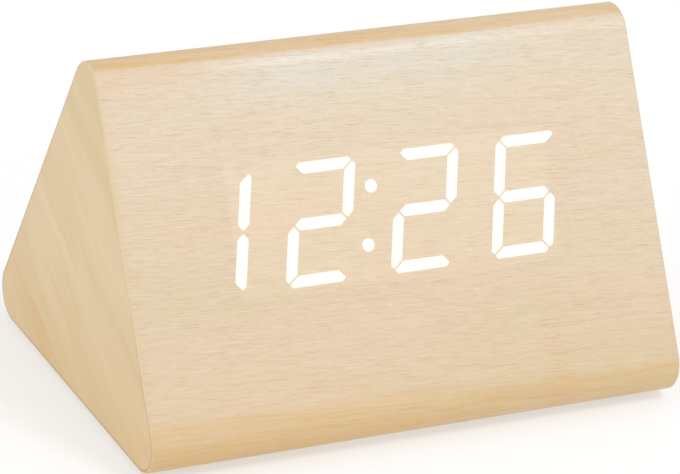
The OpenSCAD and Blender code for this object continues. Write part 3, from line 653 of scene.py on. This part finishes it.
def end_finish(look):
    """Smoother film of the end panels, with soft streaks that curve up towards the back.

    Streaks are clouds stretched along a leaning line that bends with the square of the way
    along it. Warm streaks and a warm tint show low down, and the rim is a little amber.
    """
    f = Finish("end_film")
    x, y, z = f.place_mm()
    lean = math.radians(28)
    up_slope = y * math.cos(lean) + z * math.sin(lean)
    across = y * math.sin(lean) - z * math.cos(lean)
    cloud = f.noise(f.vector(x, y / 30, z / 30), detail=1.0)
    run = across + up_slope * up_slope / 500 + (cloud - 0.5) * 7
    streaks = f.noise(f.vector(x, up_slope / 80, run / 9))
    stripes = f.noise(f.vector(x + 4, up_slope / 44, run / 3.2))
    fibres = f.noise(f.vector(x, up_slope / 14, run / 0.9))
    warm = f.between(stripes, 0.52, 0.68) * f.between(cloud, 0.40, 0.56)
    low = 1 - f.between(z + (streaks - 0.5) * 24, 2, 34)
    bend = bend_mark(f)
    colour = f.layers(
        look.end_cream,
        (f.between(streaks, 0.30, 0.70), look.end_straw),
        (warm * (1 - f.between(z, 18, 50) * 0.7) * 0.6, END_WARM),
        (f.between(fibres, 0.45, 0.75) * 0.12, look.grain),
        (low * 0.30, END_LOW),
        (f.between(bend, 0.0, 1.0) * 0.2, look.amber),
        (seam_share(f, bend, z), SEAM_SHADE))
    relief = f.bump(fibres, 0.012 * MM)
    return f.surface(Base_Color=colour, Roughness=0.42 + streaks * 0.12, Normal=relief)


def moulded_finish(name, colour, gloss=0.46, grain_mm=0.28, depth_mm=0.02,
                   wear=(0.10, 0.10, 0.105), paint=None):
    """Moulded plastic: a fine spark-eroded grain, uneven gloss and paler worn edges."""
    f = Finish(name)
    place = f.place_mm()
    pits = f.cloud(place, grain_mm)
    cloud = f.cloud(place, 14, detail=3.0)
    rounded = f.edge_round(0.16 * MM)
    wear_and_sheen = f.edge_mask(rounded) * f.between(cloud, 0.30, 0.65)
    tone = f.layers(
        [c * 0.85 for c in colour],
        (f.between(cloud, 0.3, 0.7), [c * 1.2 for c in colour]),
        (f.between(pits, 0.35, 0.7) * 0.3, wear),
        (wear_and_sheen * 0.5, wear))
    if paint is not None:
        tone = f.mix(paint(f, *place), tone, MARK_PAINT)
    relief = f.bump(pits, depth_mm * MM, rounded)
    rough = gloss + (pits - 0.5) * 0.3 + (cloud - 0.5) * 0.12
    return f.surface(Base_Color=tone, Roughness=rough, Normal=relief)


def paint_in_mark(node):
    """Where paint fills the sunk mark on a button's cap: near its axis and under its face."""
    low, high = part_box(node)
    middle_x = (low.x + high.x) / 2 / MM
    middle_up = (reach(node, BACK_UP) - reach(node, -BACK_UP)) / 2 / MM
    face = reach(node, BACK_OUT) / MM

    def share(f, x, y, z):
        up = way_along(BACK_UP, y, z) - middle_up
        sunk = face - way_along(BACK_OUT, y, z)
        off = (x - middle_x) * (x - middle_x) + up * up
        return f.between(sunk, 0.2, 0.25) * (1 - f.between(off, 5.5, 6.0))

    return share


def metal_finish(name, colour, gloss, brushed=(0.5, 0.5, 0.5)):
    """Plated metal with a fine brushed or tumbled grain and faint dull patches."""
    f = Finish(name)
    place = f.place_mm()
    lines = f.cloud(place, brushed, detail=3.0)
    patches = f.cloud(place, 3)
    rounded = f.edge_round(0.08 * MM)
    tone = f.mix(f.between(patches, 0.3, 0.7), [c * 0.86 for c in colour], colour)
    relief = f.bump(lines, 0.006 * MM, rounded)
    return f.surface(Base_Color=tone, Metallic=1.0, Roughness=gloss + (lines - 0.5) * 0.14,
                     Normal=relief)


def speckled_finish(name, colour, gloss, speck_mm=0.5, contrast=0.15, depth_mm=0.008):
    """Plain material with fine specks of a lighter and a darker shade and a slight relief."""
    f = Finish(name)
    specks = f.cloud(f.place_mm(), speck_mm, detail=3.0, roughness=0.6)
    tone = f.mix(f.between(specks, 0.3, 0.7), [c * (1 - contrast) for c in colour],
                 [min(1.0, c * (1 + contrast)) for c in colour])
    relief = f.bump(specks, depth_mm * MM, f.edge_round(0.08 * MM))
    return f.surface(Base_Color=tone, Roughness=gloss + (specks - 0.5) * 0.12, Normal=relief)


def glow_finish(look):
    """Lit segment: a white glow with soft warmer clouds, and warmer along its edges."""
    f = Finish("lit_segment")
    cloud = f.cloud(f.place_mm(), 9, detail=1.0)
    warm = [look.glow[0], look.glow[1] * 0.97, look.glow[2] * 0.93]
    rim = f.edge_mask(f.edge_round(0.6 * MM), 0.0002, 0.02)
    tone = f.layers(look.glow, (f.between(cloud, 0.35, 0.65), warm), (rim * 0.85, SEGMENT_RIM))
    return f.surface(Base_Color=(0.02, 0.02, 0.02), Roughness=0.5 + (cloud - 0.5) * 0.1,
                     Emission_Color=tone, Emission_Strength=look.glow_strength)


def board_finish():
    """Green circuit board: solder mask over a weave, with paler copper runs under it."""
    f = Finish("circuit_board")
    x, y, z = place = f.place_mm()
    spot = f.vector(x, way_along(FRONT_UP, y, z), 0.0)
    runs = f.node("ShaderNodeTexBrick", {"offset": 0.37, "squash": 1.6},
                  {"Vector": spot, "Scale": 1.0, "Mortar Size": 0.12, "Mortar Smooth": 0.2,
                   "Brick Width": 4.6, "Row Height": 1.3}, "Fac")
    weave = f.cloud(place, 0.4)
    tone = f.layers((0.010, 0.105, 0.045), (f.between(weave, 0.3, 0.7), (0.016, 0.135, 0.060)),
                    (runs * 0.7, (0.06, 0.26, 0.10)))
    relief = f.bump(runs * 0.6 + weave * 0.4, 0.02 * MM)
    return f.surface(Base_Color=tone, Roughness=0.34 + (weave - 0.5) * 0.1, Normal=relief)


def ribbon_finish():
    """Flat cable: grey wires side by side with a red first wire."""
    f = Finish("ribbon_plastic")
    x, y, z = f.place_mm()
    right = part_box("ribbon_cable")[1].x / MM
    wires = f.node("ShaderNodeTexWave", {"wave_type": "BANDS", "bands_direction": "X"},
                   {"Vector": f.vector(x, y, z), "Scale": 0.247, "Distortion": 0.0}, "Fac")
    first = f.between(x, right - 1.4, right - 1.2)
    tone = f.layers((0.24, 0.245, 0.26), (wires, (0.42, 0.43, 0.45)), (first, (0.45, 0.03, 0.025)))
    return f.surface(Base_Color=tone, Roughness=0.46 + wires * 0.08,
                     Normal=f.bump(wires, 0.25 * MM))


def cell_finish(node, look):
    """Dry cell: a dark jacket with a bright band at its button end, and bare metal ends."""
    f = Finish(node + "_jacket")
    low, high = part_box(node)
    bay_low, bay_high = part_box("battery_tray")
    button_right = high.x - bay_high.x > bay_low.x - low.x
    x, y, z = place = f.place_mm()
    from_button = (high.x / MM - x) if button_right else (x - low.x / MM)
    axis_y, axis_z = ((low + high) / 2 / MM).yz
    off_y, off_z = y - axis_y, z - axis_z
    off = (off_y * off_y + off_z * off_z) ** 0.5
    scuffs = f.cloud(place, (6, 0.8, 0.8), detail=3.0)
    band_length, can_length, button_length, bare_radius = 12.3, 43.95, 1.0, 4.95
    jacket = 1 - f.between(from_button, band_length - 0.1, band_length + 0.1)
    far_end = f.between(from_button, can_length - 0.05, can_length + 0.05)
    near_end = 1 - f.between(from_button, button_length - 0.05, button_length + 0.05)
    end = (far_end + near_end) * (1 - f.between(off, bare_radius - 0.05, bare_radius + 0.05))
    bright = f.mix(f.between(scuffs, 0.3, 0.7), [c * 0.85 for c in look.jacket], look.jacket)
    tone = f.layers(CELL_BLACK, (jacket, bright), (end, CELL_STEEL))
    relief = f.bump(scuffs, 0.006 * MM, f.edge_round(0.2 * MM))
    return f.surface(Base_Color=tone, Metallic=f.between(jacket + end, 0.4, 0.6) * 0.9,
                     Roughness=0.28 + (scuffs - 0.5) * 0.2, Normal=relief)


def floor_finish(look):
    """Matt pale paper sweep with a barely seen mottle."""
    f = Finish("studio_floor")
    mottle = f.cloud(f.place_mm(), 40, detail=3.0)
    tone = f.mix(mottle, look.floor, [c * 0.995 for c in look.floor])
    return f.surface(Base_Color=tone, Roughness=0.9, Specular_IOR_Level=0.1,
                     Emission_Color=(1.0, 1.0, 1.0, 1.0), Emission_Strength=look.floor_glow)


class CLOCK_OT_wrap_case(bpy.types.Operator):
    """Makes the wood-grain film that wraps the three long faces of the case"""

    bl_idname = "clock.wrap_case"
    bl_label = "Wrap Case"

    def execute(self, context):
        look = context.scene.clock_case
        r, sink, ease = look.edge_radius, look.film_sink, look.end_ease
        straight = CASE_LENGTH / 2 - ease
        arcs, out = section(r, sink)
        arc_marks = self.bend_marks(arcs.shape[1])
        patches = []
        ends_x = np.array((-straight, straight))[:, None]
        for points, way, marks in zip(arcs, out, arc_marks):
            grid = along_case(np.stack((points, points)), ends_x)
            patches.append((grid, facing(np.stack((way, way))), marks))
        front = np.stack((arcs[2, -1], arcs[0, 0]))
        patches.append((along_case(np.stack((front, front)), ends_x),
                        facing(np.broadcast_to(out[0, 0], (2, 2, 2))), 0.0))
        patches += self.face_with_opening(arcs[1, -1], arcs[2, 0], out[2, 0], straight,
                                          *self.plate_opening(look), look)
        patches += self.face_with_opening(arcs[0, -1], arcs[1, 0], out[1, 0], straight,
                                          *self.tray_opening(look), look)
        loop_marks = closed_loop(arc_marks[..., None])[:, 0]
        for sign in (-1, 1):
            patches.append(self.folded_end(sign, straight, r, sink, look, loop_marks))
        mesh = join_patches("wood_wrap", patches)
        add_piece(mesh, film_finish(look), "case", "wood_grain_film", "wood_film")
        return {"FINISHED"}

    def bend_marks(self, count):
        """Bend at each point of the three arcs: 0 at an arc's ends and 1 between them.

        It grows over the first degrees of an arc and fades over its last ones. The top edge's
        arc ends plain, on the front's side. The bend places the long edges' painted shade.
        """
        turned = np.linspace(0, ARC_DEGREES, count)
        grows = np.array((30, 30, 30))[:, None]
        fades = np.array((30, 30, 16))[:, None]
        plain = np.array((0, 0, 23))[:, None]
        return np.clip(np.minimum(turned / grows, (ARC_DEGREES - plain - turned) / fades), 0, 1)

    def plate_opening(self, look):
        """Middle up the back slope, half sizes and corner radius of the control plate's cut."""
        low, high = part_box("control_plate")
        top, bottom = reach("control_plate", BACK_UP), -reach("control_plate", -BACK_UP)
        start = BACK_UP @ np.array((0.0, SIDE / 2, BASE_Z))
        middle = (top + bottom) / 2 - start
        gap = look.cut_gap
        return middle, (high.x - low.x) / 2 + gap, (top - bottom) / 2 + gap, PLATE_CORNER + gap

    def tray_opening(self, look):
        """Middle across the base, half sizes and corner radius of the battery tray's cut."""
        low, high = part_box("battery_tray")
        gap = look.cut_gap
        return (SIDE / 2 + (low.y + high.y) / 2, (high.x - low.x) / 2 + gap,
                (high.y - low.y) / 2 + gap, TRAY_CORNER + gap)

    def face_with_opening(self, start, stop, out, straight,
                          middle, half_l, half_w, corner_r, look):
        """Flat face from start to stop with an opening, and the film's cut edge round it."""
        length = np.linalg.norm(stop - start)
        along = (stop - start) / length
        centre = middle - (SIDE - length) / 2
        inner, outer, way = ring_round_opening(straight, centre, length - centre,
                                               half_l, half_w, corner_r)

        def placed(flat, depth):
            spots = start + (flat[:, 1:] + centre) * along - depth * out
            return along_case(spots, flat[:, 0])

        face = np.stack((placed(inner, 0.0), placed(outer, 0.0)))
        wall = np.stack((placed(inner, 0.0), placed(inner, look.film_thickness)))
        inward = np.concatenate((-way[:, :1], -way[:, 1:] * along), axis=1)
        return [(face, facing(np.broadcast_to(out, (*face.shape[:2], 2))), 0.0),
                (wall, np.stack((inward, inward)), 1.0)]

    def folded_end(self, sign, straight, r, sink, look, marks):
        """Quarter-round fold at one end: the outline is inset as it turns towards the end."""
        ease = look.end_ease
        turns = np.radians(np.linspace(0, 90, FOLD_STEPS + 1))
        rows, ways = [], []
        for turn in turns:
            points, out = section(r, sink + ease * (1 - math.cos(turn)))
            x = sign * (straight + ease * math.sin(turn))
            rows.append(along_case(closed_loop(points), x))
            ways.append(facing(closed_loop(out), sign * math.sin(turn)))
        points, out = section(r, sink + ease + seam_widths(look) / 4)
        rows.append(along_case(closed_loop(points),
                               sign * (straight + ease - look.film_thickness)))
        ways.append(-facing(closed_loop(out)))
        turned = np.append(FOLD_MARK * np.sin(turns), SEAM_MARK)[:, None]
        return np.stack(rows), np.stack(ways), np.maximum(marks, turned)


class CLOCK_OT_end_panels(bpy.types.Operator):
    """Makes the two end panels, each a rounded triangle with an eased rim"""

    bl_idname = "clock.end_panels"
    bl_label = "End Panels"

    def execute(self, context):
        look = context.scene.clock_case
        finish = end_finish(look)
        for sign, node in ((-1, "end_film_left"), (1, "end_film_right")):
            mesh = join_patches(node.replace("film", "panel"), [self.panel(sign, look)])
            add_piece(mesh, finish, "case", "wood_grain_film", node)
        return {"FINISHED"}

    def panel(self, sign, look):
        """Polar grid: rings of the outline grow from the middle, then turn over the rim."""
        r, rim = look.edge_radius, PANEL_RIM
        edge = look.end_ease + seam_widths(look)
        end_x = CASE_LENGTH / 2
        points, out = section(r, edge + rim)
        flat, way = closed_loop(points), closed_loop(out)
        middle = flat[:-1].mean(axis=0)
        share = np.linspace(0, 1, PANEL_RINGS + 1)[:, None, None]
        rows = list(along_case(middle + share * (flat - middle), sign * end_x))
        ways = [facing(way, float(sign))] * len(rows)
        marks = [np.zeros(len(flat))] * len(rows)
        for turn in np.radians(np.linspace(0, 90, RIM_STEPS + 1))[1:]:
            points, _ = section(r, edge + rim * (1 - math.sin(turn)))
            x = sign * (end_x - rim * (1 - math.cos(turn)))
            rows.append(along_case(closed_loop(points), x))
            ways.append(facing(way, sign * math.cos(turn)))
            marks.append(np.full(len(flat), math.sin(turn)))
        rows.append(rows[-1] - np.array((sign * look.film_thickness, 0.0, 0.0)))
        ways.append(ways[-1])
        marks.append(np.full(len(flat), SEAM_MARK))
        return np.stack(rows), np.stack(ways), np.stack(marks)


class CLOCK_OT_finish_display(bpy.types.Operator):
    """Finishes the glowing digits and the display behind the film"""

    bl_idname = "clock.finish_display"
    bl_label = "Finish Display"

    def execute(self, context):
        dress(glow_finish(context.scene.clock_display), *LIT_NODES)
        dress(speckled_finish("unlit_segment", (0.70, 0.68, 0.62), 0.45), "unlit_guides")
        dress(moulded_finish("reflector_plastic", (0.028, 0.028, 0.030), 0.6), "display_housing")
        dress(speckled_finish("led_chip", (0.86, 0.74, 0.36), 0.25, speck_mm=0.3), "led_chips")
        dress(ribbon_finish(), "ribbon_cable")
        return {"FINISHED"}


class CLOCK_OT_finish_controls(bpy.types.Operator):
    """Finishes the control plate, its buttons, socket and screws"""

    bl_idname = "clock.finish_controls"
    bl_label = "Finish Controls"

    def execute(self, context):
        look = context.scene.clock_controls
        dress(moulded_finish("plate_plastic", look.plastic), "control_plate")
        for node in ("set_button", "up_button", "down_button"):
            dress(moulded_finish(node + "_plastic", look.button, 0.36,
                                 grain_mm=0.2, depth_mm=0.008, wear=(0.16, 0.16, 0.165),
                                 paint=paint_in_mark(node)), node)
        dress(moulded_finish("socket_plastic", (0.014, 0.014, 0.015), 0.4), "power_socket")
        dress(metal_finish("nickel_plate", (0.70, 0.69, 0.66), 0.2), "socket_pin")
        dress(metal_finish("zinc_plate", (0.60, 0.61, 0.62), 0.34, brushed=(0.2, 0.6, 0.6)),
              "plate_screws", "display_screws", "board_screws", "tray_screws")
        return {"FINISHED"}


class CLOCK_OT_finish_battery_bay(bpy.types.Operator):
    """Finishes the tray, the door, the cells and their contacts"""

    bl_idname = "clock.finish_battery_bay"
    bl_label = "Finish Battery Bay"

    def execute(self, context):
        look = context.scene.clock_controls
        dress(moulded_finish("tray_plastic", look.plastic, 0.5), "battery_tray")
        dress(moulded_finish("door_plastic", look.plastic, 0.48, grain_mm=0.34, depth_mm=0.018),
              "battery_door")
        for number in range(1, 5):
            node = f"aaa_cell_{number}"
            dress(cell_finish(node, look), node)
        dress(metal_finish("contact_plate", (0.72, 0.71, 0.67), 0.24, brushed=(0.5, 0.2, 0.8)),
              "battery_springs", "battery_contacts")
        dress(speckled_finish("red_insulation", (0.45, 0.02, 0.015), 0.4), "battery_lead_red")
        dress(speckled_finish("black_insulation", (0.02, 0.02, 0.02), 0.4), "battery_lead_black")
        return {"FINISHED"}


class CLOCK_OT_finish_works(bpy.types.Operator):
    """Finishes the board case, the circuit boards and the parts on them"""

    bl_idname = "clock.finish_works"
    bl_label = "Finish Works"

    def execute(self, context):
        dress(speckled_finish("fibreboard", (0.46, 0.32, 0.18), 0.8,
                              speck_mm=0.6, contrast=0.3, depth_mm=0.03),
              "case_body", "end_cap_left", "end_cap_right")
        dress(board_finish(), "display_board", "main_board")
        dress(speckled_finish("header_plastic", (0.80, 0.76, 0.64), 0.4),
              "display_header", "board_header", "board_spacers")
        dress(moulded_finish("chip_plastic", (0.018, 0.018, 0.020), 0.55, grain_mm=0.12),
              "set_switch", "up_switch", "down_switch",
              "controller_chip", "coin_holder", "sounder")
        dress(speckled_finish("plunger_plastic", (0.70, 0.66, 0.56), 0.4),
              "set_plunger", "up_plunger", "down_plunger")
        dress(metal_finish("can_metal", (0.75, 0.76, 0.78), 0.22, brushed=(2.0, 0.2, 0.2)),
              "crystal", "coin_cell", "microphone")
        dress(speckled_finish("capacitor_sleeve", (0.03, 0.05, 0.11), 0.2), "capacitor")
        dress(speckled_finish("bead_resin", (0.04, 0.16, 0.08), 0.2), "thermistor")
        return {"FINISHED"}


class CLOCK_OT_finish_feet(bpy.types.Operator):
    """Finishes the rubber feet"""

    bl_idname = "clock.finish_feet"
    bl_label = "Finish Feet"

    def execute(self, context):
        look = context.scene.clock_controls
        dress(speckled_finish("black_rubber", look.rubber, 0.75,
                              speck_mm=0.2, contrast=0.25, depth_mm=0.02), "rubber_feet")
        return {"FINISHED"}


class CLOCK_OT_stage(bpy.types.Operator):
    """Makes the floor, the lights and the camera"""

    bl_idname = "clock.stage"
    bl_label = "Stage"

    def execute(self, context):
        look = context.scene.clock_stage
        self.lay_floor(look)
        self.light_sky(context.scene, look)
        self.hang_light("key_light", KEY_PLACE, KEY_SIZE, look.key_power)
        self.hang_light("fill_light", FILL_PLACE, FILL_SIZE, look.fill_power)
        self.set_camera(context.scene, look)
        context.scene.view_settings.view_transform = "Standard"
        return {"FINISHED"}

    def lay_floor(self, look):
        """Flat square sheet: X and Y run over a grid at z = 0."""
        run = np.array((-FLOOR_REACH, FLOOR_REACH))
        x, y = np.meshgrid(run, run, indexing="ij")
        grid = np.stack((x, y, np.zeros_like(x)), axis=-1)
        up = np.broadcast_to((0.0, 0.0, 1.0), grid.shape)
        mesh = join_patches("floor", [(grid, up, 0.0)])
        floor = bpy.data.objects.new("floor", mesh)
        bpy.context.scene.collection.objects.link(floor)
        mesh.materials.append(floor_finish(look))

    def light_sky(self, scene, look):
        """Even white light from all round."""
        world = bpy.data.worlds.new("studio")
        world.use_nodes = True
        sky = world.node_tree.nodes["Background"]
        sky.inputs["Color"].default_value = (1.0, 1.0, 1.0, 1.0)
        sky.inputs["Strength"].default_value = look.sky_strength
        scene.world = world

    def hang_light(self, name, place, size, power):
        """Square soft light that faces the clock."""
        light = bpy.data.lights.new(name, "AREA")
        light.size = size
        light.energy = power
        lamp = bpy.data.objects.new(name, light)
        lamp.location = place
        lamp.rotation_euler = (AIM - Vector(place)).to_track_quat("-Z", "Y").to_euler()
        bpy.context.scene.collection.objects.link(lamp)

    def set_camera(self, scene, look):
        """Camera on a sphere round the clock, turned by its roll and slid in its own plane."""
        a, e, roll = look.azimuth, look.elevation, look.roll
        back = Vector((math.sin(a) * math.cos(e), -math.cos(a) * math.cos(e), math.sin(e)))
        level = Vector((math.cos(a), math.sin(a), 0.0))
        upright = back.cross(level)
        right = level * math.cos(roll) + upright * math.sin(roll)
        up = upright * math.cos(roll) - level * math.sin(roll)
        slide = right * FRAME_SLIDE_RIGHT + up * FRAME_SLIDE_UP
        middle = Vector((0.0, 0.0, FRAME_MIDDLE_UP + BASE_Z))
        place = back * look.distance + slide + middle
        lens = bpy.data.cameras.new("photo_camera")
        lens.sensor_fit = "HORIZONTAL"
        lens.lens = look.focal_pixels * lens.sensor_width / PHOTO_WIDTH
        lens.clip_start = 0.01
        camera = bpy.data.objects.new("photo_camera", lens)
        turned = Matrix((right, up, back)).transposed().to_4x4()
        camera.matrix_world = Matrix.Translation(place) @ turned
        scene.collection.objects.link(camera)
        scene.camera = camera


LOOKS = {
    "clock_case": CaseLook, "clock_display": DisplayLook, "clock_controls": ControlsLook,
    "clock_stage": StageLook}
STEPS = (
    CLOCK_OT_stage, CLOCK_OT_wrap_case, CLOCK_OT_end_panels, CLOCK_OT_finish_display,
    CLOCK_OT_finish_controls, CLOCK_OT_finish_battery_bay, CLOCK_OT_finish_works,
    CLOCK_OT_finish_feet)


class CLOCK_PT_panel(bpy.types.Panel):
    """Sizes, colours and steps of the clock"""

    bl_idname = "CLOCK_PT_panel"
    bl_label = "Desk Clock"
    bl_space_type = "VIEW_3D"
    bl_region_type = "UI"
    bl_category = "Clock"

    def draw(self, context):
        for name in LOOKS:
            box = self.layout.box()
            look = getattr(context.scene, name)
            for key in look.__annotations__:
                box.prop(look, key)
        for step in STEPS:
            self.layout.operator(step.bl_idname)


CLASSES = (*LOOKS.values(), *STEPS, CLOCK_PT_panel)


def register():
    for cls in CLASSES:
        bpy.utils.register_class(cls)
    for name, cls in LOOKS.items():
        setattr(bpy.types.Scene, name, PointerProperty(type=cls))


def unregister():
    for name in LOOKS:
        delattr(bpy.types.Scene, name)
    for cls in reversed(CLASSES):
        bpy.utils.unregister_class(cls)


def main():
    """Makes the clock and its stage."""
    register()
    bpy.ops.clock.stage()
    bpy.ops.clock.wrap_case()
    bpy.ops.clock.end_panels()
    bpy.ops.clock.finish_display()
    bpy.ops.clock.finish_controls()
    bpy.ops.clock.finish_battery_bay()
    bpy.ops.clock.finish_works()
    bpy.ops.clock.finish_feet()


if __name__ == "__main__":
    main()
